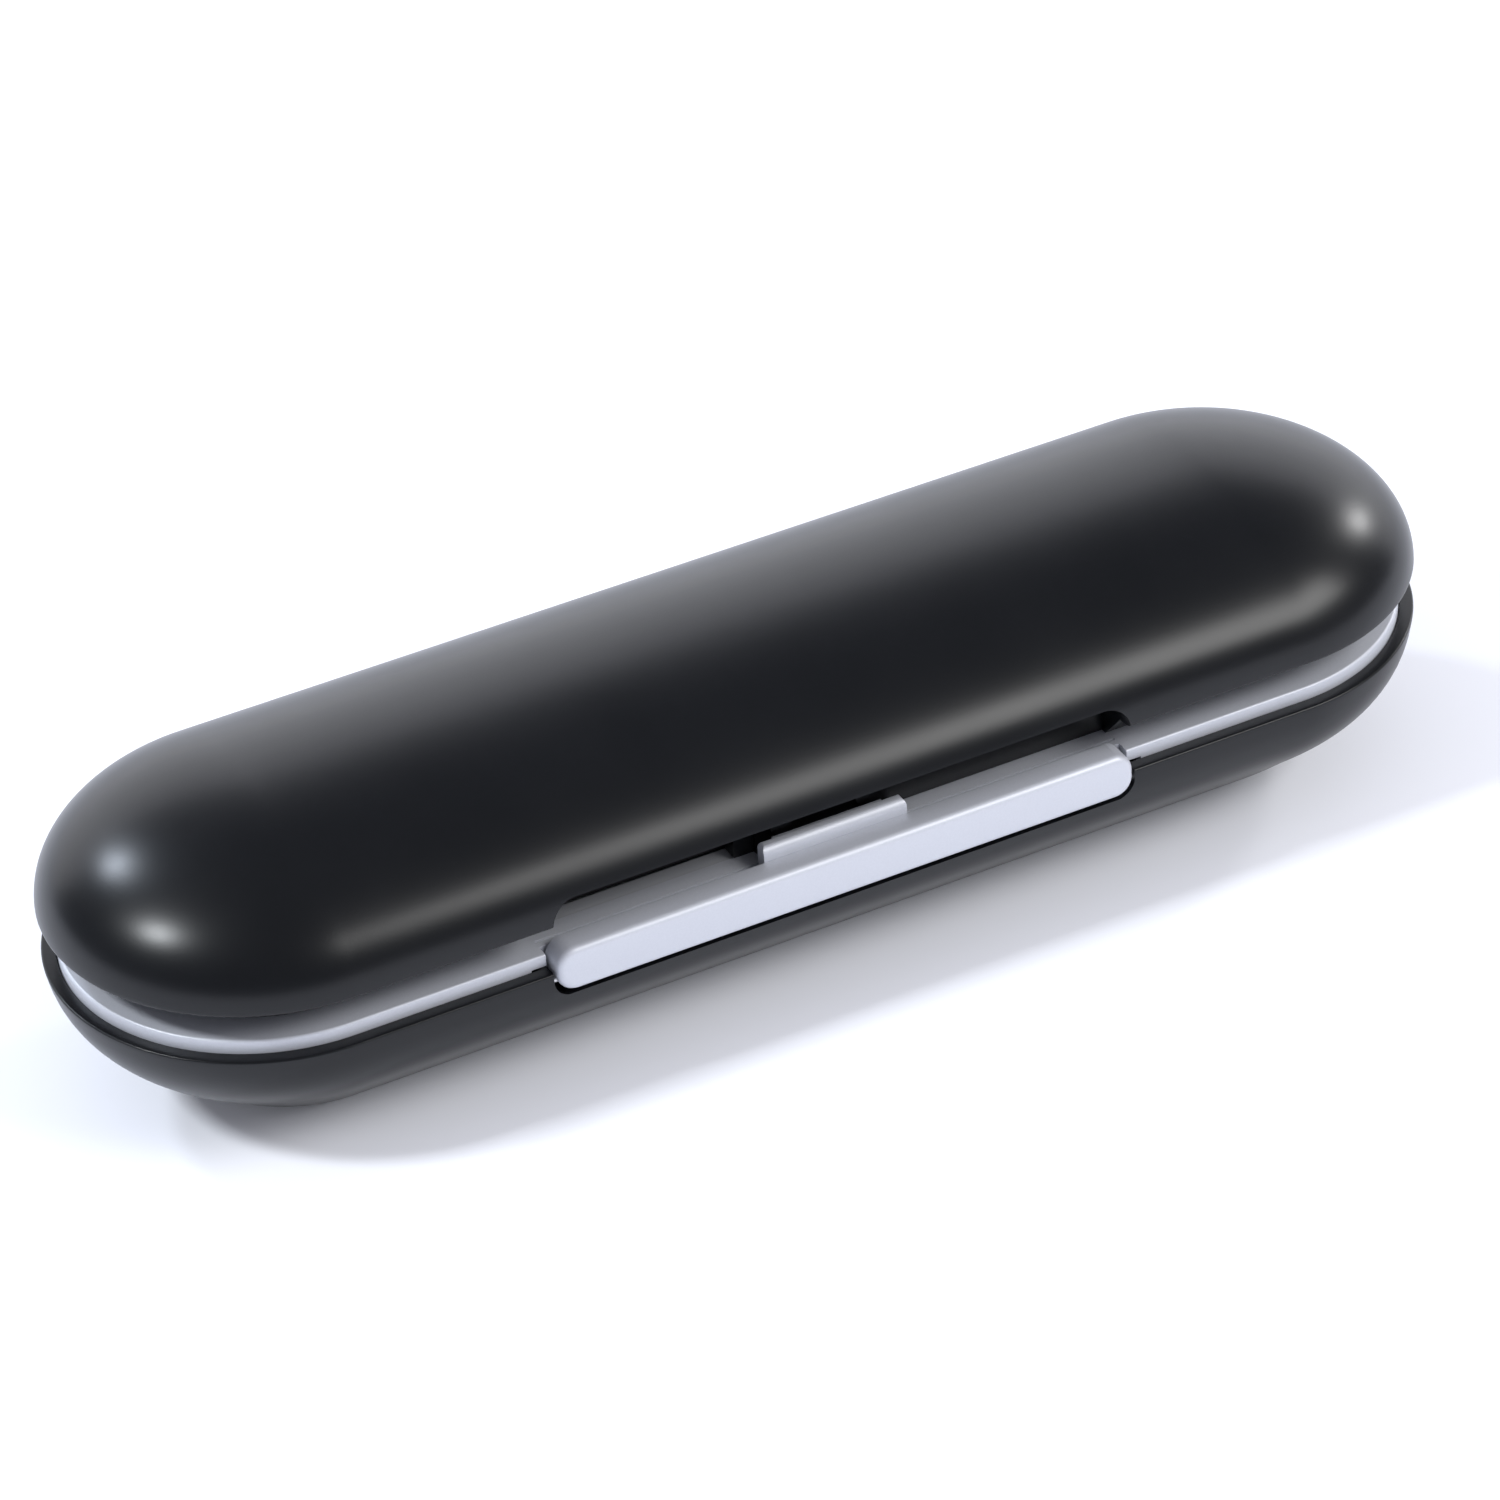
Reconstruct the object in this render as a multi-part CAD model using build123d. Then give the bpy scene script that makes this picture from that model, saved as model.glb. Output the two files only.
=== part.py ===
# Electric toothbrush travel case: a long stadium-shaped clamshell with a black
# base and a domed black lid, a silver frame between them, a pin hinge along the
# back and a silver flip latch along the front.
# Millimetres. X runs along the case, the hinge is towards +Y and the latch
# towards -Y, Z is up, and the origin is under the middle of the flat foot.
from build123d import *
from math import cos, radians, sin
import os

# Overall outline, shared by base and lid
case_length = 222.0
case_width = 65.4

# Base shell
rim_height = 23.65         # flat top of the base wall
foot_width = 27.6          # flat underside
flank_out = 25.0           # a point that the flank passes through, from the centre line
flank_up = 9.2
foot_angle = 34.0          # slope of the flank where it leaves the foot
rim_upright = 1.05         # the flank turns upright this far below the rim
rim_round = 0.35
end_lean = 0.17            # the ends also lean in, by this much for each millimetre of depth
base_wall = 2.2
base_floor = 2.2
rim_land = 2.15            # width of the flat top of the base wall
shelf_drop = 2.5           # the frame stands on a shelf this far below the rim
shelf_land = 2.0           # width of that shelf

# Silver frame
ledge_rise = 2.1           # the ledge lies this far above the rim
frame_wall = 1.6
frame_reach = 6.8          # width of the ledge, from the band inwards
frame_edge_round = 0.4
tray_lip = 1.0
lip_thick = 1.4

# Bay tray
tray_wall = 1.4
tray_plate = 1.6
handle_bay_radius = 14.9
handle_bay_offset = 5.6    # towards the hinge
handle_bay_start = -88.0
handle_bay_shoulder = 60.0
neck_bay_start = 74.0
neck_bay_end = 93.0
neck_bay_radius = 8.0
head_bay_width = 14.4
head_bay_offset = 13.4     # towards the latch
head_bay_drop = 9.0        # depth of the centre of its round bottom below the ledge
head_bay_length = 80.0
head_bay_spacing = 8.0     # between the two brush-head bays

# Lid shell
widest_rise = 6.25         # from the ledge to its widest line
lid_rise = 17.6            # from there to the top
belly_in = 3.2
belly_down = 1.05
lid_wall = 1.8
belly_thick = 1.65

# Lid ring and liner
lid_ring_wall = 1.6
ring_land = 1.8            # width of the foot of the ring
ring_inner_wall = 1.4
ring_inset = 7.7           # from the case's outline to the foot of the ring
liner_wall = 1.2
liner_gap = 0.4

# Finger scoop in the lid
scoop_rise = 9.65          # from the ledge to its top edge
scoop_depth = 8.7          # from the case's outline, beside and right of the latch tab
scoop_deep = 12.0          # on its left part, where the tray's rim is its floor
scoop_deep_end = 14.2      # that part ends this far from the middle, beside the latch tab
scoop_wall = 1.5
scoop_corner = 4.0

# Latch
latch_length = 95.0
latch_height = 7.3
latch_depth = 4.8
latch_proud = 0.7          # how far its face stands out of the case's outline
latch_rise = 1.6           # its top edge above the ledge
latch_corner = 3.1
latch_edge_round = 1.1
latch_pivot_in = 2.2       # from its face
latch_pivot_up = 1.9       # from its lower edge
latch_barrel_radius = 2.1
tab_width = 23.6
tab_height = 3.0
tab_thick = 1.5
tab_corner = 1.0
tab_round = 0.7
tab_overlap = 0.45         # how far the tab sinks into the bar's back
nose_width = 18.0
nose_height = 1.2
nose_reach = 1.6
nose_below_tab = 1.2
pivot_pin_radius = 0.75
pivot_pin_hold = 1.9       # length of pin in each cheek of the pocket
pocket_wall = 1.5
pocket_cheek = 2.2
pocket_depth = 9.0

# Lid hinge
hinge_length = 60.0
hinge_barrel_radius = 2.6
hinge_rise = 1.05          # its axis above the ledge
hinge_pin_radius = 1.0
knuckle_length = 30.0      # the base's middle knuckle

# Catch on the lid
catch_width = 22.0
catch_thick = 0.8
catch_height = 5.0
catch_lip_thick = 1.0
catch_screw_spacing = 14.0
catch_screw_radius = 1.0
catch_screw_head = 1.7
catch_screw_head_thick = 0.6
catch_screw_length = 1.4

# Clearances
part_gap = 0.2
lid_gap = 0.2
latch_gap = 0.4
latch_end_gap = 0.8
swing_gap = 0.25
nose_gap = 0.25
knuckle_gap = 0.3
pin_gap = 0.05

# Lines that several pieces share
half_width = case_width / 2
straight = case_length - case_width
band_half = half_width - rim_land - part_gap
wall_top = rim_height - rim_upright
shelf_height = rim_height - shelf_drop
shelf_inner = band_half + part_gap - shelf_land
ledge_height = rim_height + ledge_rise
frame_inner = band_half - frame_reach
lip_inner = frame_inner - tray_lip
lip_top = ledge_height - part_gap - tray_plate
ring_foot = half_width - ring_inset
ring_bottom = ledge_height + lid_gap
lid_widest = ledge_height + widest_rise
belly_edge = half_width - belly_in
belly_bottom = lid_widest - belly_down
belly_top = belly_bottom + belly_thick
ring_inner = ring_foot - ring_land
scoop_face = -(half_width - scoop_depth)
scoop_top = ledge_height + scoop_rise
latch_face = -(half_width + latch_proud)
latch_back = latch_face + latch_depth
latch_top = ledge_height + latch_rise
latch_bottom = latch_top - latch_height
latch_pivot = (latch_face + latch_pivot_in, latch_bottom + latch_pivot_up)
pocket_back = latch_back + latch_gap
pocket_half = latch_length / 2 + latch_end_gap
hinge_axis = (half_width + latch_proud - hinge_barrel_radius, ledge_height + hinge_rise)


def outline(*points):
    """A closed straight-sided profile, given as (distance from centre line, height)."""
    return make_face(Polyline(*points, close=True))


def stadium(profile):
    """Runs a half profile round the whole stadium plan of the case."""
    section = Plane.YZ * profile
    side = Pos(-straight / 2, 0, 0) * extrude(section, amount=straight, dir=(1, 0, 0))
    end = Pos(-straight / 2, 0, 0) * revolve(section, axis=Axis.Z, revolution_arc=180)
    return side + mirror(side, about=Plane.XZ) + end + mirror(end, about=Plane.YZ)


def leaning_stadium(profile):
    """The same below the rim, with both ends leaning in towards the foot."""
    section = Plane.YZ * profile
    side = Pos(-straight / 2, 0, 0) * extrude(section, amount=straight, dir=(1, 0, 0))
    foot = straight / 2 - end_lean * rim_height
    trim = outline((-foot, 0), (foot, 0), (straight / 2, rim_height), (-straight / 2, rim_height))
    side = side + mirror(side, about=Plane.XZ)
    side &= extrude(Plane.XZ * trim, amount=case_width, both=True)
    turned = revolve(section, axis=Axis.Z, revolution_arc=180)
    shear = Matrix([[1, 0, -end_lean, -foot], [0, 1, 0, 0], [0, 0, 1, 0], [0, 0, 0, 1]])
    end = turned.transform_geometry(shear)
    return side + end + mirror(end, about=Plane.YZ)


def bar_along_x(profile, x_from, x_to):
    """Extrudes a YZ profile between two places along the case."""
    return Pos(x_from, 0, 0) * extrude(Plane.YZ * profile, amount=x_to - x_from, dir=(1, 0, 0))


def rod(centre, radius, x_from, x_to):
    return bar_along_x(Pos(centre[0], centre[1]) * Circle(radius), x_from, x_to)


def block(x_from, x_to, y_from, y_to, z_from, z_to):
    corner = (Align.MIN, Align.MIN, Align.MIN)
    return Pos(x_from, y_from, z_from) * Box(x_to - x_from, y_to - y_from, z_to - z_from, align=corner)


def column(half, z_from, z_to):
    return stadium(outline((0, z_from), (half, z_from), (half, z_to), (0, z_to)))


def flank(inset, end):
    """The base's flank, moved in by a wall, from the foot up to an upright end."""
    lean = radians(foot_angle)
    middle = radians(foot_angle + 10)
    start = (foot_width / 2 - inset * sin(lean), inset * cos(lean))
    through = (flank_out - inset * sin(middle), flank_up + inset * cos(middle))
    return Spline(start, through, end, tangents=[(cos(lean), sin(lean)), (0, 1)])


def base_outer():
    side = flank(0, (half_width, wall_top))
    upright = Line(side @ 1, (half_width, rim_height - rim_round))
    corner = RadiusArc(upright @ 1, (half_width - rim_round, rim_height), -rim_round)
    rest = Polyline(corner @ 1, (0, rim_height), (0, 0), side @ 0)
    return leaning_stadium(make_face(side + upright + corner + rest))


def base_hollow():
    side = flank(base_wall, (shelf_inner, shelf_height))
    rest = Polyline(side @ 1, (0, shelf_height), (0, base_floor), ((side @ 0).X, base_floor), side @ 0)
    below = leaning_stadium(make_face(side + rest))
    return below + column(band_half + part_gap, shelf_height, rim_height + 1)


def latch_pocket():
    """The space that the latch and its lower edge swing in."""
    sweep = latch_pivot_up + latch_pivot_in
    reach = (latch_pivot_in**2 + latch_pivot_up**2) ** 0.5 + swing_gap
    top = ledge_height + latch_height
    room = block(-pocket_half, pocket_half, latch_face - sweep, pocket_back, latch_bottom - latch_gap, top)
    room += rod(latch_pivot, reach, -pocket_half, pocket_half)
    low = latch_pivot[1] - reach
    high = top + latch_corner + latch_gap
    mouth = RectangleRounded(2 * pocket_half, high - low, latch_corner + latch_gap)
    face = Plane.XZ * Pos(0, (low + high) / 2) * mouth
    return room & extrude(Pos(0, latch_face, 0) * face, amount=2 * pocket_depth, both=True)


def make_base_shell():
    outer = base_outer()
    cheek = pocket_half + pocket_cheek
    housing = outer & block(-cheek, cheek, latch_face - 1, pocket_back + pocket_wall,
                            rim_height - pocket_depth, rim_height)
    skirt_room = column(band_half + part_gap, shelf_height, rim_height + 1)
    skirt_room -= column(band_half - frame_wall - part_gap, shelf_height - 1, rim_height + 2)
    shell = (outer - base_hollow()) + (housing - skirt_room)
    shell -= latch_pocket()
    pin_end = pocket_half + pivot_pin_hold + part_gap
    return shell - rod(latch_pivot, pivot_pin_radius + pin_gap / 2, -pin_end, pin_end)


def make_rim_frame():
    edge = RadiusArc((band_half, ledge_height - frame_edge_round),
                     (band_half - frame_edge_round, ledge_height), -frame_edge_round)
    skirt = band_half - frame_wall
    under = ledge_height - frame_wall
    step = frame_inner + frame_wall
    lip_under = lip_top - lip_thick
    rest = Polyline(edge @ 1, (frame_inner, ledge_height), (frame_inner, lip_top), (lip_inner, lip_top),
                    (lip_inner, lip_under), (step, lip_under), (step, under), (skirt, under),
                    (skirt, shelf_height), (band_half, shelf_height), edge @ 0)
    ring = stadium(make_face(edge + rest))
    ring -= latch_pocket()
    cheek = pocket_half + pocket_cheek + part_gap
    ring -= block(-cheek, cheek, latch_face, pocket_back + pocket_wall + part_gap,
                  shelf_height - 1, rim_height + part_gap)
    ring -= block(-hinge_length / 2 - knuckle_gap, hinge_length / 2 + knuckle_gap,
                  hinge_axis[0] - hinge_barrel_radius - knuckle_gap, half_width,
                  rim_height, ledge_height + 1)
    half = knuckle_length / 2
    knuckle = rod(hinge_axis, hinge_barrel_radius, -half, half)
    knuckle += block(-half, half, hinge_axis[0] - hinge_barrel_radius - knuckle_gap - frame_wall,
                     hinge_axis[0], rim_height, ledge_height)
    knuckle -= column(band_half - frame_wall, shelf_height, under)
    bore = rod(hinge_axis, hinge_pin_radius + pin_gap, -hinge_length, hinge_length)
    return ring + knuckle - bore


def bays(grow):
    """The hollows for the handle, its neck and two brush heads, grown by a wall."""
    axis_line = (handle_bay_offset, ledge_height)
    radius = handle_bay_radius + grow
    neck = neck_bay_radius + grow
    handle = rod(axis_line, radius, handle_bay_start - grow, handle_bay_shoulder)
    shoulder_length = neck_bay_start - handle_bay_shoulder
    taper = Pos(handle_bay_shoulder + shoulder_length / 2, *axis_line) * Rot(0, 90, 0)
    handle += taper * Cone(radius, neck, shoulder_length)
    handle += rod(axis_line, neck, neck_bay_start, neck_bay_end + grow)
    half = head_bay_width / 2 + grow
    low = ledge_height - head_bay_drop
    slot = Pos(-head_bay_offset, low) * Circle(half)
    slot += Pos(-head_bay_offset, low + head_bay_drop / 2) * Rectangle(2 * half, head_bay_drop)
    near = head_bay_spacing / 2 - grow
    far = head_bay_spacing / 2 + head_bay_length + grow
    return handle + bar_along_x(slot, near, far) + bar_along_x(slot, -far, -near)


def make_bay_tray():
    top = lip_top + tray_plate
    well = lip_inner - part_gap
    plate = column(frame_inner - part_gap, lip_top, top)
    shells = bays(tray_wall) & column(well, base_floor, top)
    hollows = bays(0) & column(well - tray_wall, base_floor, top + 1)
    return plate + shells - hollows


def dome(out, centre_height, rise):
    """A quarter of an ellipse, from the widest line up to the top."""
    return EllipticalCenterArc((0, centre_height), out, rise, start_angle=0, arc_size=90)


def lid_outer():
    crown = dome(half_width, lid_widest, lid_rise)
    belly = EllipticalCenterArc((belly_edge, lid_widest), belly_in, belly_down, start_angle=270, arc_size=90)
    rest = Polyline(crown @ 1, (0, belly_bottom), belly @ 0)
    return stadium(make_face(belly + crown + rest))


def lid_hollow():
    """The space inside the shell above its turned-in edge, and the opening in that edge."""
    crown = dome(half_width - lid_wall, lid_widest, lid_rise - lid_wall)
    rest = Polyline(crown @ 1, (0, lid_widest), crown @ 0)
    above = block(-case_length, case_length, -case_width, case_width, belly_top, belly_top + lid_rise)
    inside = stadium(make_face(crown + rest)) & above
    return inside + column(belly_edge, belly_bottom - 1, belly_top)


def round_cornered(x_from, x_to, back, grow):
    """One part of the finger scoop, open below, grown by a wall or a clearance."""
    low = ring_bottom - 2 * scoop_corner
    top = scoop_top + grow
    shape = RectangleRounded(x_to - x_from + 2 * grow, top - low, scoop_corner + grow)
    face = Plane.XZ * Pos((x_from + x_to) / 2, (top + low) / 2) * shape
    return extrude(Pos(0, back + grow, 0) * face, amount=half_width, dir=(0, -1, 0))


def scoop_block(grow):
    """The finger scoop: shallow along the latch and deeper to the left of its tab."""
    half = latch_length / 2
    deep_back = -(half_width - scoop_deep)
    return (round_cornered(-half, half, scoop_face, grow)
            + round_cornered(-half, -scoop_deep_end, deep_back, grow))


def lid_body_space():
    """All that the lid may fill: its outline above the edge, and the ring's cone below it."""
    edge = belly_edge
    cone = outline((0, ring_bottom), (ring_foot, ring_bottom), (edge, belly_bottom), (0, belly_bottom))
    return lid_outer() + stadium(cone)


def make_lid_shell():
    shell = lid_outer() - lid_hollow()
    wall_space = lid_body_space() & scoop_block(scoop_wall)
    return shell + wall_space - scoop_block(0)


def make_lid_ring():
    edge = belly_edge - part_gap
    shoulder = edge - lid_ring_wall
    inner_side = ring_inner + ring_inner_wall
    section = outline((ring_inner, ring_bottom), (ring_foot, ring_bottom), (edge, belly_bottom),
                      (edge, belly_top), (shoulder, belly_top), (shoulder, belly_bottom + lid_ring_wall / 3),
                      (inner_side, ring_bottom + lid_ring_wall + part_gap), (inner_side, belly_top),
                      (ring_inner, belly_top))
    ring = stadium(section) - scoop_block(scoop_wall + part_gap)
    y_axis, z_axis = hinge_axis
    radius = hinge_barrel_radius
    arm = outline((edge - 0.6, belly_bottom + 0.2), (ring_foot + 1.2, ring_bottom + 1.9),
                  (y_axis - radius + 0.3, ledge_height + lid_gap + 0.2), (y_axis, z_axis),
                  (y_axis + 0.6, z_axis + radius - 0.1))
    inner = knuckle_length / 2 + knuckle_gap
    outer = hinge_length / 2
    for x_from, x_to in ((inner, outer), (-outer, -inner)):
        ring += bar_along_x(arm, x_from, x_to)
        ring += rod(hinge_axis, radius, x_from, x_to)
    return ring - rod(hinge_axis, hinge_pin_radius + pin_gap, -hinge_length, hinge_length)


def make_lid_liner():
    edge = belly_edge - part_gap
    rise = lid_widest + lid_rise - lid_wall - liner_gap - belly_top
    crown = dome(edge, belly_top, rise)
    inner_low = belly_top + liner_wall
    inner = dome(edge - liner_wall, inner_low, rise - 2 * liner_wall)
    rest_top = Line(crown @ 1, inner @ 1)
    rest_low = Polyline(inner @ 0, (ring_inner, inner_low), (ring_inner, belly_top), crown @ 0)
    liner = stadium(make_face(crown + rest_top + inner + rest_low))
    return liner - scoop_block(scoop_wall + part_gap)


def make_latch_bar():
    low, top = latch_bottom, latch_top
    y_axis, z_axis = latch_pivot
    radius = latch_barrel_radius
    section = outline((latch_face, low), (y_axis, low), (y_axis, z_axis), (y_axis + radius, z_axis),
                      (latch_back, z_axis + radius), (latch_back, top), (latch_face, top))
    section += Pos(y_axis, z_axis) * Circle(radius) & Pos(y_axis, z_axis) * Rectangle(
        radius, 2 * radius, align=(Align.MIN, Align.CENTER))
    half = latch_length / 2
    bar = bar_along_x(section, -half, half)
    pill = RectangleRounded(latch_length, latch_height, latch_corner)
    face = Plane.XZ * Pos(0, (low + top) / 2) * pill
    bar &= extrude(Pos(0, latch_face, 0) * face, amount=2 * latch_depth, dir=(0, 1, 0))
    front = bar.faces().sort_by(Axis.Y)[0]
    bar = fillet(front.edges(), latch_edge_round)
    tab_front = latch_back - tab_overlap
    tab_back = tab_front + tab_thick
    tab = block(-tab_width / 2, tab_width / 2, tab_front, tab_back,
                ledge_height + swing_gap, top + tab_height)
    tab = fillet(tab.edges().filter_by(Axis.Y).group_by(Axis.Z)[-1], tab_corner)
    ridge = tab.edges().filter_by(Axis.X).group_by(Axis.Z)[-1]
    tab = fillet(ridge, tab_round)
    nose_top = top + tab_height - nose_below_tab
    nose = block(-nose_width / 2, nose_width / 2, tab_back - tab_round, tab_back + nose_reach,
                 nose_top - nose_height, nose_top)
    tip = nose.edges().filter_by(Axis.X).group_by(Axis.Y)[-1]
    nose = fillet(tip, nose_height / 3)
    return bar + tab + nose - rod(latch_pivot, pivot_pin_radius + pin_gap, -half, half)


def make_latch_pin():
    end = pocket_half + pivot_pin_hold
    return rod(latch_pivot, pivot_pin_radius, -end, end)


def make_hinge_pin():
    return rod(hinge_axis, hinge_pin_radius, -hinge_length / 2, hinge_length / 2)


def catch_screw_places():
    height = ring_bottom + part_gap + catch_lip_thick + (catch_height + catch_lip_thick) / 2
    return [(x, height) for x in (-catch_screw_spacing / 2, catch_screw_spacing / 2)]


def make_lid_catch():
    low = ring_bottom + part_gap
    face = scoop_face - catch_thick
    lip = latch_back - tab_overlap + tab_thick + nose_reach + nose_gap
    half = catch_width / 2
    lip_top_face = low + catch_lip_thick
    plate = block(-half, half, face, scoop_face, low, lip_top_face + catch_height)
    plate += block(-half, half, lip, scoop_face, low, lip_top_face)
    hole = Cylinder(catch_screw_radius + pin_gap, 4 * catch_thick)
    for x, z in catch_screw_places():
        plate -= Pos(x, scoop_face, z) * Rot(90, 0, 0) * hole
    return plate


def make_catch_screws():
    screws = []
    face = scoop_face - catch_thick
    for x, z in catch_screw_places():
        turn = Pos(x, 0, z) * Rot(90, 0, 0)
        head = Cylinder(catch_screw_head, catch_screw_head_thick)
        head = Pos(0, face - catch_screw_head_thick / 2, 0) * turn * head
        length = catch_thick + catch_screw_length
        shank = Pos(0, face + length / 2, 0) * turn * Cylinder(catch_screw_radius, length)
        screws.append(head + shank)
    return Compound(children=screws)


def with_screw_holes(shell):
    hole = Cylinder(catch_screw_radius + pin_gap, 2 * catch_screw_length + pin_gap)
    for x, z in catch_screw_places():
        shell -= Pos(x, scoop_face, z) * Rot(90, 0, 0) * hole
    return shell


parts = {
    "base_shell": make_base_shell(),
    "rim_frame": make_rim_frame(),
    "bay_tray": make_bay_tray(),
    "lid_shell": with_screw_holes(make_lid_shell()),
    "lid_ring": make_lid_ring(),
    "lid_liner": make_lid_liner(),
    "lid_catch": make_lid_catch(),
    "catch_screws": make_catch_screws(),
    "latch_bar": make_latch_bar(),
    "latch_pin": make_latch_pin(),
    "hinge_pin": make_hinge_pin(),
}

os.makedirs("parts", exist_ok=True)
for name, shape in parts.items():
    export_step(shape, f"parts/{name}.step")
    print(name, round(shape.volume), "mm3")
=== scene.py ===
from math import cos, pi, radians, sin

import bmesh
import bpy
from mathutils import Matrix, Vector
from mathutils.geometry import interpolate_bezier


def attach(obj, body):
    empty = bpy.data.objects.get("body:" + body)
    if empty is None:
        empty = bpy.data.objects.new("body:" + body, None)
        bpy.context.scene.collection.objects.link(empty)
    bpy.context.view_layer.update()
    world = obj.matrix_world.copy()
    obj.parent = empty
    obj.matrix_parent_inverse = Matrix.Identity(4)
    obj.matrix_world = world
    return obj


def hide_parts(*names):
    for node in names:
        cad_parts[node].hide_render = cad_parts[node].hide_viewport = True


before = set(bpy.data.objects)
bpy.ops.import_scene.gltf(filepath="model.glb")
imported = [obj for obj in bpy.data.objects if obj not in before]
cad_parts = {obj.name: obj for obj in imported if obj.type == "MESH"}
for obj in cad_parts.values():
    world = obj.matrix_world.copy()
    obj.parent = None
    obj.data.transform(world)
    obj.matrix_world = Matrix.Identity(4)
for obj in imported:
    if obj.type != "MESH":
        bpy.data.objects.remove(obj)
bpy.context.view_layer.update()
mm = 0.001

plan = {  # the stadium outline that every ring-shaped piece follows, in mm
    "halfWidth": 32.7,
    "straight": 156.6,
    "rim": 23.65,
    "ledge": 25.75,
    "endSteps": 72,
    "sideSteps": 16,
}


# ---- small modelling tools

class Profile:  # a chain of vertices drawn in (distance from the centre line, height)
    def __init__(self, width, height):
        self.bm = bmesh.new()
        self.last = self.bm.verts.new(self.place(width, height))
        self.first = self.last

    def place(self, width, height):
        return Vector((plan["straight"] / 2, -width, height)) * mm

    def to(self, *points):
        for width, height in points:
            grown = bmesh.ops.extrude_vert_indiv(self.bm, verts=[self.last])
            self.last = grown["verts"][0]
            self.last.co = self.place(width, height)
        return self

    def arc(self, width, height, degrees, steps, squash=(1, 1)):  # turns the last point about a centre
        centre = self.place(width, height)
        turned = [self.last]
        for step in range(steps):
            spun = bmesh.ops.spin(self.bm, geom=[self.last], cent=centre, axis=(1, 0, 0),
                                  angle=-radians(degrees / steps), steps=1)
            self.last = [part for part in spun["geom_last"] if isinstance(part, bmesh.types.BMVert)][0]
            turned.append(self.last)
        for vert in turned[1:]:
            vert.co.y = centre.y + (vert.co.y - centre.y) * squash[0]
            vert.co.z = centre.z + (vert.co.z - centre.z) * squash[1]
        return self

    def curve(self, handleOut, handleIn, end, steps):
        knots = [self.last.co, self.place(*handleOut), self.place(*handleIn), self.place(*end)]
        for point in interpolate_bezier(*knots, steps + 1)[1:]:
            grown = bmesh.ops.extrude_vert_indiv(self.bm, verts=[self.last])
            self.last = grown["verts"][0]
            self.last.co = point
        return self

    def close(self):
        self.bm.edges.new((self.last, self.first))
        return self


def finishMesh(bm, name, sharpDegrees=30.0):
    bmesh.ops.remove_doubles(bm, verts=bm.verts, dist=0.002 * mm)
    bmesh.ops.dissolve_degenerate(bm, edges=bm.edges, dist=0.001 * mm)
    bmesh.ops.recalc_face_normals(bm, faces=bm.faces)
    mesh = bpy.data.meshes.new(name)
    bm.to_mesh(mesh)
    bm.free()
    piece = bpy.data.objects.new(name, mesh)
    bpy.context.scene.collection.objects.link(piece)
    shadeSmooth(piece, sharpDegrees)
    return piece


def shadeSmooth(piece, sharpDegrees):
    bm = bmesh.new()
    bm.from_mesh(piece.data)
    for face in bm.faces:
        face.smooth = True
    for edge in bm.edges:
        edge.smooth = edge.calc_face_angle(0.0) < radians(sharpDegrees)
    bm.to_mesh(piece.data)
    bm.free()


def sweepRound(profile, name, sharpDegrees=30.0):  # runs a profile round both ends and along both sides
    bm = profile.bm
    reach = plan["straight"] * mm
    geom = list(bm.verts) + list(bm.edges)
    for side in (1, -1):
        spun = bmesh.ops.spin(bm, geom=geom, cent=(side * reach / 2, 0, 0), axis=(0, 0, 1),
                              angle=pi, steps=plan["endSteps"])
        step = (-side * reach / plan["sideSteps"], 0, 0)
        pulled = bmesh.ops.spin(bm, geom=spun["geom_last"], cent=(0, 0, 0), axis=(0, 0, 1),
                                dvec=step, angle=0, steps=plan["sideSteps"])
        geom = pulled["geom_last"]
    return finishMesh(bm, name, sharpDegrees)


def pullAlong(profile, xFrom, xTo, name):  # a closed profile pulled straight along the case
    bm = profile.bm
    face = bm.faces.new(chainLoop(profile))
    bmesh.ops.translate(bm, verts=bm.verts, vec=(xFrom * mm - plan["straight"] / 2 * mm, 0, 0))
    pulled = bmesh.ops.extrude_face_region(bm, geom=[face])
    moved = [part for part in pulled["geom"] if isinstance(part, bmesh.types.BMVert)]
    bmesh.ops.translate(bm, verts=moved, vec=((xTo - xFrom) * mm, 0, 0))
    return finishMesh(bm, name)


def chainLoop(profile):
    ordered = [profile.first]
    edge = profile.first.link_edges[0]
    while True:
        ahead = edge.other_vert(ordered[-1])
        if ahead is profile.first:
            return ordered
        ordered.append(ahead)
        edge = [one for one in ahead.link_edges if one is not edge][0]


def roundedBlock(low, high, name, corner=0.0, along="Y", front=0.0, segments=8):
    bm = bmesh.new()
    made = bmesh.ops.create_cube(bm, size=1)
    size = [(b - a) * mm for a, b in zip(low, high)]
    middle = [(a + b) / 2 * mm for a, b in zip(low, high)]
    bmesh.ops.scale(bm, verts=made["verts"], vec=size)
    bmesh.ops.translate(bm, verts=made["verts"], vec=middle)
    axis = "XYZ".index(along)
    if corner:
        bevelEdges(bm, [edge for edge in bm.edges if runsAlong(edge, axis)], corner, segments)
    if front:
        face = next(face for face in bm.faces if face.normal[axis] < -0.9)
        bevelEdges(bm, list(face.edges), front, 4)
    return finishMesh(bm, name)


def runsAlong(edge, axis):
    way = (edge.verts[1].co - edge.verts[0].co).normalized()
    return abs(way[axis]) > 0.99


def bevelEdges(bm, edges, width, segments):
    bmesh.ops.bevel(bm, geom=edges, offset=width * mm, offset_type="OFFSET", affect="EDGES",
                    segments=segments, profile=0.5, material=-1, clamp_overlap=False)


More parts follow.
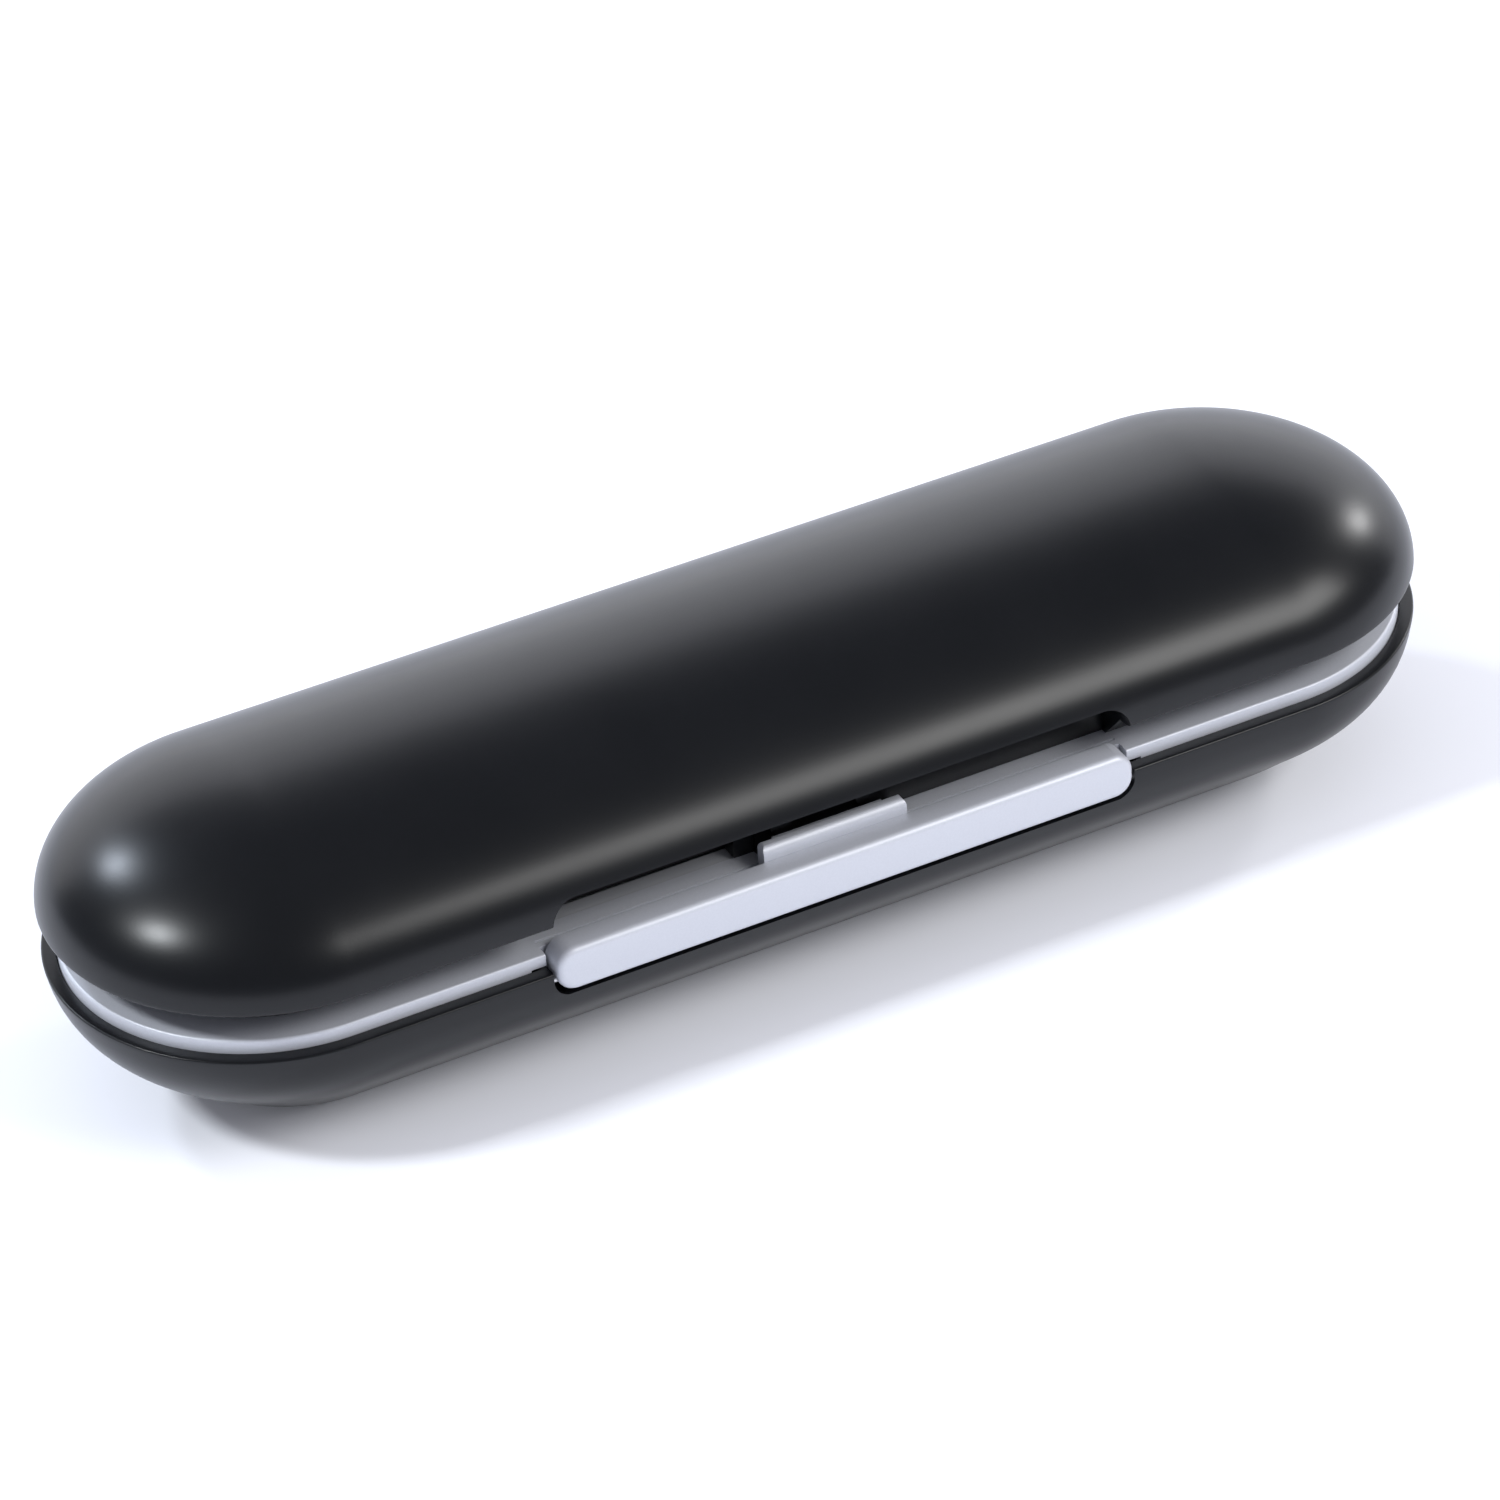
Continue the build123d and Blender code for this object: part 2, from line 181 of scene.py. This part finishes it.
def rod(centre, radius, xFrom, xTo, name, segments=40):
    bm = bmesh.new()
    middle = Vector(((xFrom + xTo) / 2, *centre)) * mm
    turn = Matrix.Translation(middle) @ Matrix.Rotation(pi / 2, 4, "Y")
    bmesh.ops.create_cone(bm, cap_ends=True, segments=segments, radius1=radius * mm,
                          radius2=radius * mm, depth=(xTo - xFrom) * mm, matrix=turn)
    return finishMesh(bm, name)


def carve(piece, cutter, operation="DIFFERENCE"):
    change = piece.modifiers.new("carve", "BOOLEAN")
    change.operation = operation
    change.object = cutter
    change.solver = "EXACT"
    applyChanges(piece)
    bpy.data.objects.remove(cutter)
    return piece


def applyChanges(piece):
    bpy.context.view_layer.update()
    seen = piece.evaluated_get(bpy.context.evaluated_depsgraph_get())
    mesh = bpy.data.meshes.new_from_object(seen)
    piece.modifiers.clear()
    piece.data = mesh


def tidyFaces(piece, sharpDegrees=30.0):  # merges what a cut leaves and shades by angle
    bm = bmesh.new()
    bm.from_mesh(piece.data)
    bmesh.ops.remove_doubles(bm, verts=bm.verts, dist=0.004 * mm)
    bmesh.ops.dissolve_degenerate(bm, edges=bm.edges, dist=0.002 * mm)
    bm.to_mesh(piece.data)
    bm.free()
    shadeSmooth(piece, sharpDegrees)


def mergedCopy(node, sharpDegrees=28.0):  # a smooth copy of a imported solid, its triangles joined
    bm = bmesh.new()
    bm.from_mesh(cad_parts[node].data)
    bmesh.ops.remove_doubles(bm, verts=bm.verts, dist=0.002 * mm)
    bmesh.ops.dissolve_degenerate(bm, edges=bm.edges, dist=0.001 * mm)
    mesh = bpy.data.meshes.new(node + "_skin")
    bm.to_mesh(mesh)
    bm.free()
    piece = bpy.data.objects.new(node + "_skin", mesh)
    bpy.context.scene.collection.objects.link(piece)
    shadeSmooth(piece, sharpDegrees)
    return piece


# ---- finishes

class Wire:  # a socket that does arithmetic
    def __init__(self, sheet, socket):
        self.sheet = sheet
        self.socket = socket

    def maths(self, operation, first, second):
        return self.sheet.add("ShaderNodeMath", {"operation": operation}, {0: first, 1: second})

    def __add__(self, other):
        return self.maths("ADD", self, other)

    def __mul__(self, other):
        return self.maths("MULTIPLY", self, other)

    def __sub__(self, other):
        return self.maths("SUBTRACT", self, other)

    __radd__ = __add__
    __rmul__ = __mul__


class Sheet:  # one node tree
    def __init__(self, tree):
        self.tree = tree
        tree.nodes.clear()

    def add(self, kind, settings=None, inputs=None, out=0):
        node = self.tree.nodes.new(kind)
        for key, value in (settings or {}).items():
            setattr(node, key, value)
        for key, value in (inputs or {}).items():
            if isinstance(value, Wire):
                self.tree.links.new(value.socket, node.inputs[key])
            else:
                node.inputs[key].default_value = value
        return Wire(self, node.outputs[out]) if node.outputs else node

    def place(self):
        return self.add("ShaderNodeTexCoord", out="Object")

    def noise(self, vector, scale, detail=2.0, roughness=0.5):
        return self.add("ShaderNodeTexNoise", {"noise_dimensions": "3D"},
                        {"Vector": vector, "Scale": scale, "Detail": detail, "Roughness": roughness})

    def blend(self, factor, first, second):
        return self.add("ShaderNodeMix", {"data_type": "RGBA"},
                        {"Factor": factor, 6: (*first, 1), 7: (*second, 1)}, out=2)

    def bump(self, height, strength, distance):
        return self.add("ShaderNodeBump", {}, {"Height": height, "Strength": strength,
                                               "Distance": distance * mm})


def newFinish(name):
    material = bpy.data.materials.new(name)
    material.use_nodes = True
    return material, Sheet(material.node_tree)


def around(wire, middle, swing):
    return wire * swing + (middle - swing / 2)


def paint(sheet, inputs):
    shader = sheet.add("ShaderNodeBsdfPrincipled", {}, inputs)
    sheet.add("ShaderNodeOutputMaterial", {}, {"Surface": shader})


satinBlack = {
    "deep": (0.0050, 0.0054, 0.0066),
    "light": (0.0078, 0.0083, 0.0098),
    "roughness": 0.30,
    "roughnessSwing": 0.05,
    "grainScale": 2600.0,
    "grainStrength": 0.10,
    "specular": 0.30,
}


def makeBlack(name, settings):
    material, sheet = newFinish(name)
    place = sheet.place()
    broad = sheet.noise(place, 45.0, 3.0)
    grain = sheet.noise(place, settings["grainScale"], 2.0)
    paint(sheet, {
        "Base Color": sheet.blend(broad, settings["deep"], settings["light"]),
        "Roughness": around(broad, settings["roughness"], settings["roughnessSwing"]),
        "Specular IOR Level": settings["specular"],
        "Normal": sheet.bump(grain, settings["grainStrength"], 0.05),
    })
    return material


satinSilver = {
    "deep": (0.52, 0.535, 0.585),
    "light": (0.58, 0.595, 0.645),
    "metallic": 0.28,
    "roughness": 0.48,
    "roughnessSwing": 0.06,
    "flakeScale": 3200.0,
}


def makeSilver(name, settings):
    material, sheet = newFinish(name)
    place = sheet.place()
    flake = sheet.noise(place, settings["flakeScale"], 2.0)
    broad = sheet.noise(place, 60.0, 2.0)
    paint(sheet, {
        "Base Color": sheet.blend(flake, settings["deep"], settings["light"]),
        "Metallic": settings["metallic"],
        "Roughness": around(broad, settings["roughness"], settings["roughnessSwing"]),
        "Normal": sheet.bump(flake, 0.08, 0.03),
    })
    return material


matteGrey = {
    "deep": (0.40, 0.41, 0.435),
    "light": (0.45, 0.46, 0.485),
    "roughness": 0.62,
    "roughnessSwing": 0.1,
    "grainScale": 1500.0,
}


def makeGrey(name, settings):
    material, sheet = newFinish(name)
    place = sheet.place()
    grain = sheet.noise(place, settings["grainScale"], 3.0)
    broad = sheet.noise(place, 40.0, 3.0)
    paint(sheet, {
        "Base Color": sheet.blend(broad, settings["deep"], settings["light"]),
        "Roughness": around(grain, settings["roughness"], settings["roughnessSwing"]),
        "Normal": sheet.bump(grain, 0.25, 0.08),
    })
    return material


drawnSteel = {
    "deep": (0.50, 0.50, 0.51),
    "light": (0.66, 0.66, 0.67),
    "roughness": 0.28,
    "roughnessSwing": 0.12,
}


def makeSteel(name, settings):
    material, sheet = newFinish(name)
    place = sheet.place()
    drawn = sheet.add("ShaderNodeMapping", {"vector_type": "POINT"},
                      {"Vector": place, "Scale": (120.0, 5200.0, 5200.0)})
    lines = sheet.noise(drawn, 1.0, 2.0)
    paint(sheet, {
        "Base Color": sheet.blend(lines, settings["deep"], settings["light"]),
        "Metallic": 1.0,
        "Roughness": around(lines, settings["roughness"], settings["roughnessSwing"]),
        "Normal": sheet.bump(lines, 0.15, 0.01),
    })
    return material


# the drawn steel again with a near-black colour: painted shade, so the catch and its screws read as the
# shaded recess above the latch tab
catchShadeSteel = {
    "deep": (0.035, 0.036, 0.040),
    "light": (0.055, 0.056, 0.061),
    "roughness": 0.42,
    "roughnessSwing": 0.12,
}

blackSatin = makeBlack("blackSatin", satinBlack)
silverSatin = makeSilver("silverSatin", satinSilver)
greyMatte = makeGrey("greyMatte", matteGrey)
steelDrawn = makeSteel("steelDrawn", drawnSteel)
steelShadeDark = makeSteel("steelShadeDark", catchShadeSteel)
print("finishes made")


def dress(piece, node, body, material):
    piece.data.materials.clear()
    piece.data.materials.append(material)
    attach(piece, body)
    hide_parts(node)


# ---- base shell

baseSizes = {
    "footHalf": 13.8,
    "footAngle": 34.0,
    "flank": (25.0, 9.2),
    "wallTop": 22.6,
    "rimRound": 0.35,
    "endLean": 0.17,          # the ends also lean in, by this much for each millimetre of depth
    "wall": 2.2,
    "floor": 2.2,
    "shelf": (28.55, 21.15),
    "mouth": 30.55,
    "flankPull": 1.42,        # how strongly the flank's ends hold their direction
    "seatGap": 0.4,           # round the latch in its pocket
}


def flankCurve(profile, start, through, end, pull):  # two cubic spans that meet with even curvature
    lean = radians(baseSizes["footAngle"])
    first = Vector((cos(lean), sin(lean))) * pull
    last = Vector((0, 1)) * pull
    a, b, c = Vector(start), Vector(through), Vector(end)
    lower, upper = (b - a).length, (c - b).length
    middle = (3 * (upper / lower * (b - a) + lower / upper * (c - b)) - upper * first - lower * last)
    middle = middle / (2 * (lower + upper))
    profile.curve(a + first * lower / 3, b - middle * lower / 3, b, 14)
    profile.curve(b + middle * upper / 3, c - last * upper / 3, c, 14)
    return profile


def insetPoint(point, inset, degrees):
    lean = radians(degrees)
    return (point[0] - inset * sin(lean), point[1] + inset * cos(lean))


def baseOutside(inset=0.0):
    size = baseSizes
    half, rim, lip = plan["halfWidth"] - inset, plan["rim"] - inset, size["rimRound"]
    start = insetPoint((size["footHalf"], 0), inset, size["footAngle"])
    through = insetPoint(size["flank"], inset, size["footAngle"] + 10)
    outside = Profile(0, start[1]).to(start)
    flankCurve(outside, start, through, (half, size["wallTop"]), size["flankPull"])
    return outside.to((half, rim - lip)).arc(half - lip, rim - lip, 90, 5)


def leanEnds(piece):  # moves both ends in below the rim, but not the seat of the frame
    reach = plan["straight"] / 2 * mm
    for vert in piece.data.vertices:
        x, y, z = vert.co
        out = Vector((max(abs(x) - reach, 0), y)).length
        if abs(out - baseSizes["mouth"] * mm) > 0.01 * mm:
            share = max(-1, min(1, x / reach))
            vert.co.x -= share * baseSizes["endLean"] * (plan["rim"] * mm - z)


def buildBase():
    size = baseSizes
    half, rim = plan["halfWidth"], plan["rim"]
    outside = baseOutside()
    outside.to((size["mouth"], rim), (size["mouth"], size["shelf"][1]), size["shelf"])
    inner = insetPoint((size["footHalf"], 0), size["wall"], size["footAngle"])
    through = insetPoint(size["flank"], size["wall"], size["footAngle"] + 10)
    inside = Profile(*inner)
    flankCurve(inside, inner, through, size["shelf"], size["flankPull"])
    points = [(-vert.co.y / mm, vert.co.z / mm) for vert in inside.bm.verts]
    inside.bm.free()
    outside.to(*reversed(points[:-1]))
    outside.to((inner[0], size["floor"]), (0, size["floor"]))
    shell = sweepRound(outside, "baseShell")
    leanEnds(shell)
    pocket = latchSizes
    wide, back, pivot = pocket["pocketHalf"], pocket["pocketBack"], pocket["pivot"]
    cheek = wide + pocket["cheek"]
    housing = roundedBlock((-cheek, 0.6 - half, rim - pocket["pocketDepth"]),
                           (cheek, back + pocket["pocketWall"], rim - 0.05), "housing")
    slab = roundedBlock((-cheek - 1, -size["mouth"], size["shelf"][1]),
                        (cheek + 1, -size["shelf"][0], rim + 1), "skirtRoom")
    carve(housing, slab)
    limit = baseOutside(0.03).to((0, rim - 0.03))
    carve(housing, sweepRound(limit, "housingLimit"), "INTERSECT")
    carve(shell, housing, "UNION")
    room = roundedBlock((-wide, -half - 6, pocket["low"] - size["seatGap"]), (wide, back, 40), "pocketRoom")
    carve(room, rod(pivot, pocket["swing"], -wide, wide, "pocketSweep", 64), "UNION")
    mouth = roundedBlock((-wide, -half - 7, pivot[1] - pocket["swing"]), (wide, back + 1, 45), "pocketMouth",
                         corner=pocket["corner"] + size["seatGap"], along="Y")
    carve(room, mouth, "INTERSECT")
    carve(shell, room)
    tidyFaces(shell)
    dress(shell, "base_shell", "base", blackSatin)


latchSizes = {
    "half": 47.5,
    "face": -33.4,
    "back": -28.9,
    "low": 20.05,
    "top": 27.35,
    "corner": 3.1,
    "edgeRound": 1.1,
    "backRound": 0.35,
    "pivot": (-31.2, 21.95),
    "barrel": 2.1,
    "bore": 0.8,
    "pocketHalf": 48.0,
    "pocketBack": -28.2,
    "pocketWall": 1.5,
    "pocketDepth": 9.0,
    "cheek": 2.2,
    "swing": 3.157,
    "tabHalf": 11.8,
    "tabFront": -29.05,
    "tabBack": -27.0,
    "tabLow": 26.0,
    "tabTop": 29.7,
    "tabCorner": 0.9,
    "tabCrown": 1.4,          # its top edge towards the front
    "tabHeel": 0.4,
    "noseHalf": 9.0,
    "noseLow": 27.95,
    "noseTop": 29.15,
    "noseReach": 1.05,
    "noseRound": 0.35,
}

buildBase()
print("base shell done")


# ---- silver frame

frameSizes = {
    "band": 30.35,
    "skirt": 28.75,
    "skirtLow": 21.15,
    "under": 24.15,
    "step": 25.15,
    "ledgeIn": 23.55,
    "lipIn": 22.55,
    "lipTop": 23.95,
    "lipLow": 22.55,
    "edgeRound": 0.4,
    "hinge": (30.8, 26.8),
    "barrel": 2.6,
    "bore": 1.05,
    "knuckleHalf": 15.0,
    "notchHalf": 30.3,
    "cheekGap": (26.5, 23.85),      # room for the latch pocket's cheeks, under the ledge
    "seam": (27.0, 26.55, 0.4),     # behind the latch: from, to, depth
    "knuckleFoot": ((26.3, 24.2), (30.8, 25.7)),
    "knuckleHeel": ((28.8, 23.6), (30.3, 24.4)),
    "hingeGapFrom": 27.9,
}


def buildFrame():
    size = frameSizes
    top, edge = plan["ledge"], size["edgeRound"]
    section = Profile(size["band"], size["skirtLow"]).to((size["band"], top - edge))
    section.arc(size["band"] - edge, top - edge, 90, 4)
    section.to((size["ledgeIn"], top), (size["ledgeIn"], size["lipTop"]), (size["lipIn"], size["lipTop"]),
               (size["lipIn"], size["lipLow"]), (size["step"], size["lipLow"]), (size["step"], size["under"]),
               (size["skirt"], size["under"]), (size["skirt"], size["skirtLow"])).close()
    ring = sweepRound(section, "rimFrame")
    half = latchSizes["pocketHalf"]
    carve(ring, roundedBlock((-half, -40, 15), (half, latchSizes["pocketBack"], 40), "latchGap"))
    cheek = half + latchSizes["cheek"] + 0.2
    back, under = size["cheekGap"]
    carve(ring, roundedBlock((-cheek, -40, 15), (cheek, -back, under), "cheekGap"))
    start, end, depth = size["seam"]
    carve(ring, roundedBlock((-half, -start, top - depth), (half, -end, top + 1), "seamBehindLatch"))
    notch, middle = size["notchHalf"], size["knuckleHalf"]
    carve(ring, roundedBlock((-notch, size["hingeGapFrom"], plan["rim"]), (notch, 40, 40), "hingeGap"))
    knuckle = rod(size["hinge"], size["barrel"], -middle, middle, "knuckle", 64)
    for name in ("knuckleFoot", "knuckleHeel"):
        low, high = size[name]
        carve(knuckle, roundedBlock((-middle, *low), (middle, *high), name), "UNION")
    carve(knuckle, rod(size["hinge"], size["bore"], -20, 20, "pinBore", 40))
    carve(ring, knuckle, "UNION")
    tidyFaces(ring)
    dress(ring, "rim_frame", "base", silverSatin)


buildFrame()
print("silver frame done")


# ---- lid

lidSizes = {
    "widest": 32.0,
    "rise": 17.6,
    "bellyIn": 3.2,
    "bellyDown": 1.05,
    "wall": 1.8,
    "bellyTop": 32.6,
    "ringLow": 25.95,
    "ringFoot": 25.0,
    "crownSteps": 56,
    "scoopLeft": -47.5,
    "scoopRight": 47.5,
    "scoopTop": 35.4,
    "scoopLow": 15.95,
    "scoopFace": -24.0,
    "scoopDeepFace": -20.7,   # left of the latch tab
    "scoopDeepEnd": 14.2,
    "scoopCorner": 4.0,
    "scoopWall": 1.5,
}


def scoopBlock(grow, name):
    size = lidSizes
    left, right = size["scoopLeft"] - grow, size["scoopRight"] + grow
    low, top = size["scoopLow"], size["scoopTop"] + grow
    block = roundedBlock((left, -60, low), (right, size["scoopFace"] + grow, top),
                         name, corner=size["scoopCorner"] + grow, along="Y", segments=12)
    deep = roundedBlock((left, -59, low), (grow - size["scoopDeepEnd"], size["scoopDeepFace"] + grow, top),
                        name + "Deep", corner=size["scoopCorner"] + grow, along="Y", segments=12)
    return carve(block, deep, "UNION")


def buildLid():
    size = lidSizes
    half, widest, rise = plan["halfWidth"], size["widest"], size["rise"]
    edge = half - size["bellyIn"]
    out = half - size["wall"]
    inRise = rise - size["wall"]
    section = Profile(0, widest + rise)
    section.arc(0, widest, -90, size["crownSteps"], squash=(half / rise, 1))
    section.arc(edge, widest, -90, 10, squash=(1, size["bellyDown"] / size["bellyIn"]))
    cut = (1 - ((size["bellyTop"] - widest) / inRise) ** 2) ** 0.5 * out
    section.to((edge, size["bellyTop"]), (cut, size["bellyTop"]))
    inner = Profile(0, widest + inRise).arc(0, widest, -90, size["crownSteps"], squash=(out / inRise, 1))
    points = [(-vert.co.y / mm, vert.co.z / mm) for vert in inner.bm.verts]
    inner.bm.free()
    section.to(*reversed([point for point in points if point[1] > size["bellyTop"] + 0.05]))
    shell = sweepRound(section, "lidShell")
    inset = 0.35
    room = Profile(0, widest + rise - inset)
    room.arc(0, widest, -90, 32, squash=((half - inset) / (rise - inset), 1))
    room.to((edge, widest - size["bellyDown"] + inset), (edge - 0.1, widest - size["bellyDown"] - 0.1),
            (size["ringFoot"], size["ringLow"]), (0, size["ringLow"]))
    pocket = sweepRound(room, "scoopWalls")
    carve(pocket, scoopBlock(size["scoopWall"], "wallBlock"), "INTERSECT")
    carve(shell, pocket, "UNION")
    carve(shell, scoopBlock(0, "scoopBlock"))
    tidyFaces(shell)
    dress(shell, "lid_shell", "lid", blackSatin)


buildLid()
print("lid shell done")


# ---- latch

def latchTab():  # a low tab, rounded over towards the front
    size = latchSizes
    front, back, top = -size["tabFront"], -size["tabBack"], size["tabTop"]
    crown, heel = size["tabCrown"], size["tabHeel"]
    section = Profile(front, size["tabLow"]).to((front, top - crown))
    section.arc(front - crown, top - crown, 90, 14)
    section.to((back + heel, top)).arc(back + heel, top - heel, 90, 6)
    section.to((back, size["tabLow"])).close()
    tab = pullAlong(section, -size["tabHalf"], size["tabHalf"], "latchTab")
    limit = roundedBlock((-size["tabHalf"], -35, 10), (size["tabHalf"], -20, top), "tabLimit",
                         corner=size["tabCorner"], along="Y", segments=10)
    return carve(tab, limit, "INTERSECT")


def buildLatch():
    size = latchSizes
    low, top = size["low"], size["top"]
    pivotY, pivotZ = size["pivot"]
    bar = roundedBlock((-size["half"], size["face"], low), (size["half"], size["back"] + 1, top), "latchBar",
                       corner=size["corner"], along="Y", front=size["edgeRound"], segments=14)
    section = Profile(-size["face"] + 1, low - 1).to((-pivotY, low - 1), (-pivotY, pivotZ - size["barrel"]))
    section.arc(-pivotY, pivotZ, -90, 12)
    back, soft = -size["back"], size["backRound"]
    section.to((back, pivotZ + size["barrel"]), (back, top - soft)).arc(back + soft, top - soft, -90, 4)
    section.to((back + soft, top + 1), (-size["face"] + 1, top + 1)).close()
    keep = pullAlong(section, -60, 60, "latchSection")
    carve(bar, keep, "INTERSECT")
    carve(bar, latchTab(), "UNION")
    nose = roundedBlock((-size["noseHalf"], size["tabBack"] - 0.5, size["noseLow"]),
                        (size["noseHalf"], size["tabBack"] + size["noseReach"], size["noseTop"]),
                        "latchNose", corner=size["noseRound"], along="X", segments=4)
    carve(bar, nose, "UNION")
    carve(bar, rod(size["pivot"], size["bore"], -50, 50, "latchBore", 32))
    tidyFaces(bar)
    dress(bar, "latch_bar", "latch", silverSatin)


buildLatch()
print("latch done")


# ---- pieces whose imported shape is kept

keptNodes = {
    "bay_tray": ("base", "tray_grey", greyMatte),
    "latch_pin": ("base", "pin_steel", steelDrawn),
    "hinge_pin": ("base", "pin_steel", steelDrawn),
    "lid_ring": ("lid", "black_shell", blackSatin),
    "lid_liner": ("lid", "tray_grey", greyMatte),
    # the catch and its screws take the near-black steel, whose dark colour is painted shade
    "lid_catch": ("lid", "pin_steel", steelShadeDark),
    "catch_screws": ("lid", "pin_steel", steelShadeDark),
}
for node, (body, slot, material) in keptNodes.items():
    dress(mergedCopy(node), node, body, material)
print("inner pieces done")


# ---- studio

studio = {
    "floorHalf": 3.0,
    "wallBehind": 1.9,
    "wallHeight": 1.55,
    "wallHalf": 3.2,
    "away": (0.4355, 0.9002, 0),    # straight away from the camera, over the floor
    "floorColour": (0.85, 0.86, 0.91),
    "floorGlow": 0.03,
    "wallGlow": 1.15,
    "reflected": (0.046, 0.049, 0.060),   # what a glossy surface sees overhead and in front
    "ambientColour": (0.93, 0.95, 1.06),
    "ambient": 0.58,
}


def studioFinish(name, colour, glow):
    material, sheet = newFinish(name)
    rays = sheet.add("ShaderNodeLightPath", out="Is Camera Ray")
    glossy = sheet.add("ShaderNodeLightPath", out="Is Glossy Ray")
    through = sheet.add("ShaderNodeLightPath", out="Is Transmission Ray")
    seen = rays + glossy + through
    body = sheet.add("ShaderNodeBsdfDiffuse", {}, {"Color": (*colour, 1)})
    light = sheet.add("ShaderNodeEmission", {}, {"Color": (1, 1, 1, 1), "Strength": seen * glow})
    both = sheet.add("ShaderNodeAddShader", {}, {0: body, 1: light})
    sheet.add("ShaderNodeOutputMaterial", {}, {"Surface": both})
    return material


def card(name, corner, right, up, material):
    bm = bmesh.new()
    made = bmesh.ops.create_grid(bm, x_segments=1, y_segments=1, size=0.5)
    for vert in made["verts"]:
        vert.co = Vector(corner) + Vector(right) * (vert.co.x + 0.5) + Vector(up) * (vert.co.y + 0.5)
    mesh = bpy.data.meshes.new(name)
    bm.to_mesh(mesh)
    bm.free()
    piece = bpy.data.objects.new(name, mesh)
    piece.data.materials.append(material)
    bpy.context.scene.collection.objects.link(piece)
    return piece


def buildStudio():
    size = studio
    half = size["floorHalf"]
    card("floor", (-half, -half, 0), (2 * half, 0, 0), (0, 2 * half, 0),
         studioFinish("floorPaper", size["floorColour"], size["floorGlow"]))
    away = Vector(size["away"])
    side = Vector((away.y, -away.x, 0)) * size["wallHalf"]
    start = away * size["wallBehind"] - side
    card("backdrop", start, side * 2, (0, 0, size["wallHeight"]),
         studioFinish("backdropPaper", size["floorColour"], size["wallGlow"]))
    world = bpy.data.worlds.new("studioWorld")
    bpy.context.scene.world = world
    world.use_nodes = True
    world.cycles.sampling_method = "NONE"
    sheet = Sheet(world.node_tree)
    soft = sheet.add("ShaderNodeLightPath", out="Is Diffuse Ray")
    dark = sheet.add("ShaderNodeBackground", {}, {"Color": (*size["reflected"], 1), "Strength": 1.0})
    fill = sheet.add("ShaderNodeBackground", {},
                     {"Color": (*size["ambientColour"], 1), "Strength": size["ambient"]})
    light = sheet.add("ShaderNodeMixShader", {}, {0: soft, 1: dark, 2: fill})
    sheet.add("ShaderNodeOutputWorld", {}, {"Surface": light})


lamps = {  # azimuth from the front towards +X, elevation, distance, width, height, watts, colour
    "softboxRight": (42, 38, 1.25, 0.80, 0.40, 10.6, (1.0, 0.995, 0.98)),
    "windowLeft": (-95, 45, 1.2, 0.16, 0.16, 9.0, (0.93, 0.97, 1.0)),
    "windowBack": (-148, 38, 1.2, 0.14, 0.14, 4.6, (0.80, 0.88, 1.0)),
    "stripRight": (103, 24, 1.2, 0.14, 0.14, 2.6, (1.0, 1.0, 1.0)),
}


def placeLamp(name, azimuth, elevation, distance, width, height, watts, colour):
    data = bpy.data.lights.new(name, "AREA")
    data.shape = "RECTANGLE"
    data.size = width
    data.size_y = height
    data.energy = watts
    data.color = colour
    lamp = bpy.data.objects.new(name, data)
    bpy.context.scene.collection.objects.link(lamp)
    turn, tilt = radians(azimuth), radians(elevation)
    way = Vector((sin(turn) * cos(tilt), -cos(turn) * cos(tilt), sin(tilt)))
    facing = way.to_track_quat("Z", "Y").to_matrix().to_4x4()
    lamp.matrix_world = Matrix.Translation(Vector((0, 0, 0.03)) + way * distance) @ facing


buildStudio()
for name, settings in lamps.items():
    placeLamp(name, *settings)
print("studio done")


# ---- camera

view = {
    "place": (-0.382217, -0.792174, 0.639684),
    "back": (-0.35708, -0.73806, 0.57251),
    "right": (0.90018, -0.43552, 0.0),
    "up": (0.24934, 0.51536, 0.81990),
    "roll": -3.51,
    "lens": 173.53,
}


def placeCamera():
    data = bpy.data.cameras.new("camera")
    data.sensor_width = 36.0
    data.lens = view["lens"]
    data.clip_start = 0.05
    data.clip_end = 50.0
    camera = bpy.data.objects.new("camera", data)
    bpy.context.scene.collection.objects.link(camera)
    roll = radians(view["roll"])
    right, up, back = Vector(view["right"]), Vector(view["up"]), Vector(view["back"])
    across = (right * cos(roll) + up * sin(roll)).normalized()
    over = (up * cos(roll) - right * sin(roll)).normalized()
    turn = Matrix((across, over, back.normalized())).transposed().to_4x4()
    camera.matrix_world = Matrix.Translation(view["place"]) @ turn
    bpy.context.scene.camera = camera


placeCamera()
bpy.context.scene.view_settings.view_transform = "Standard"
print("camera done")
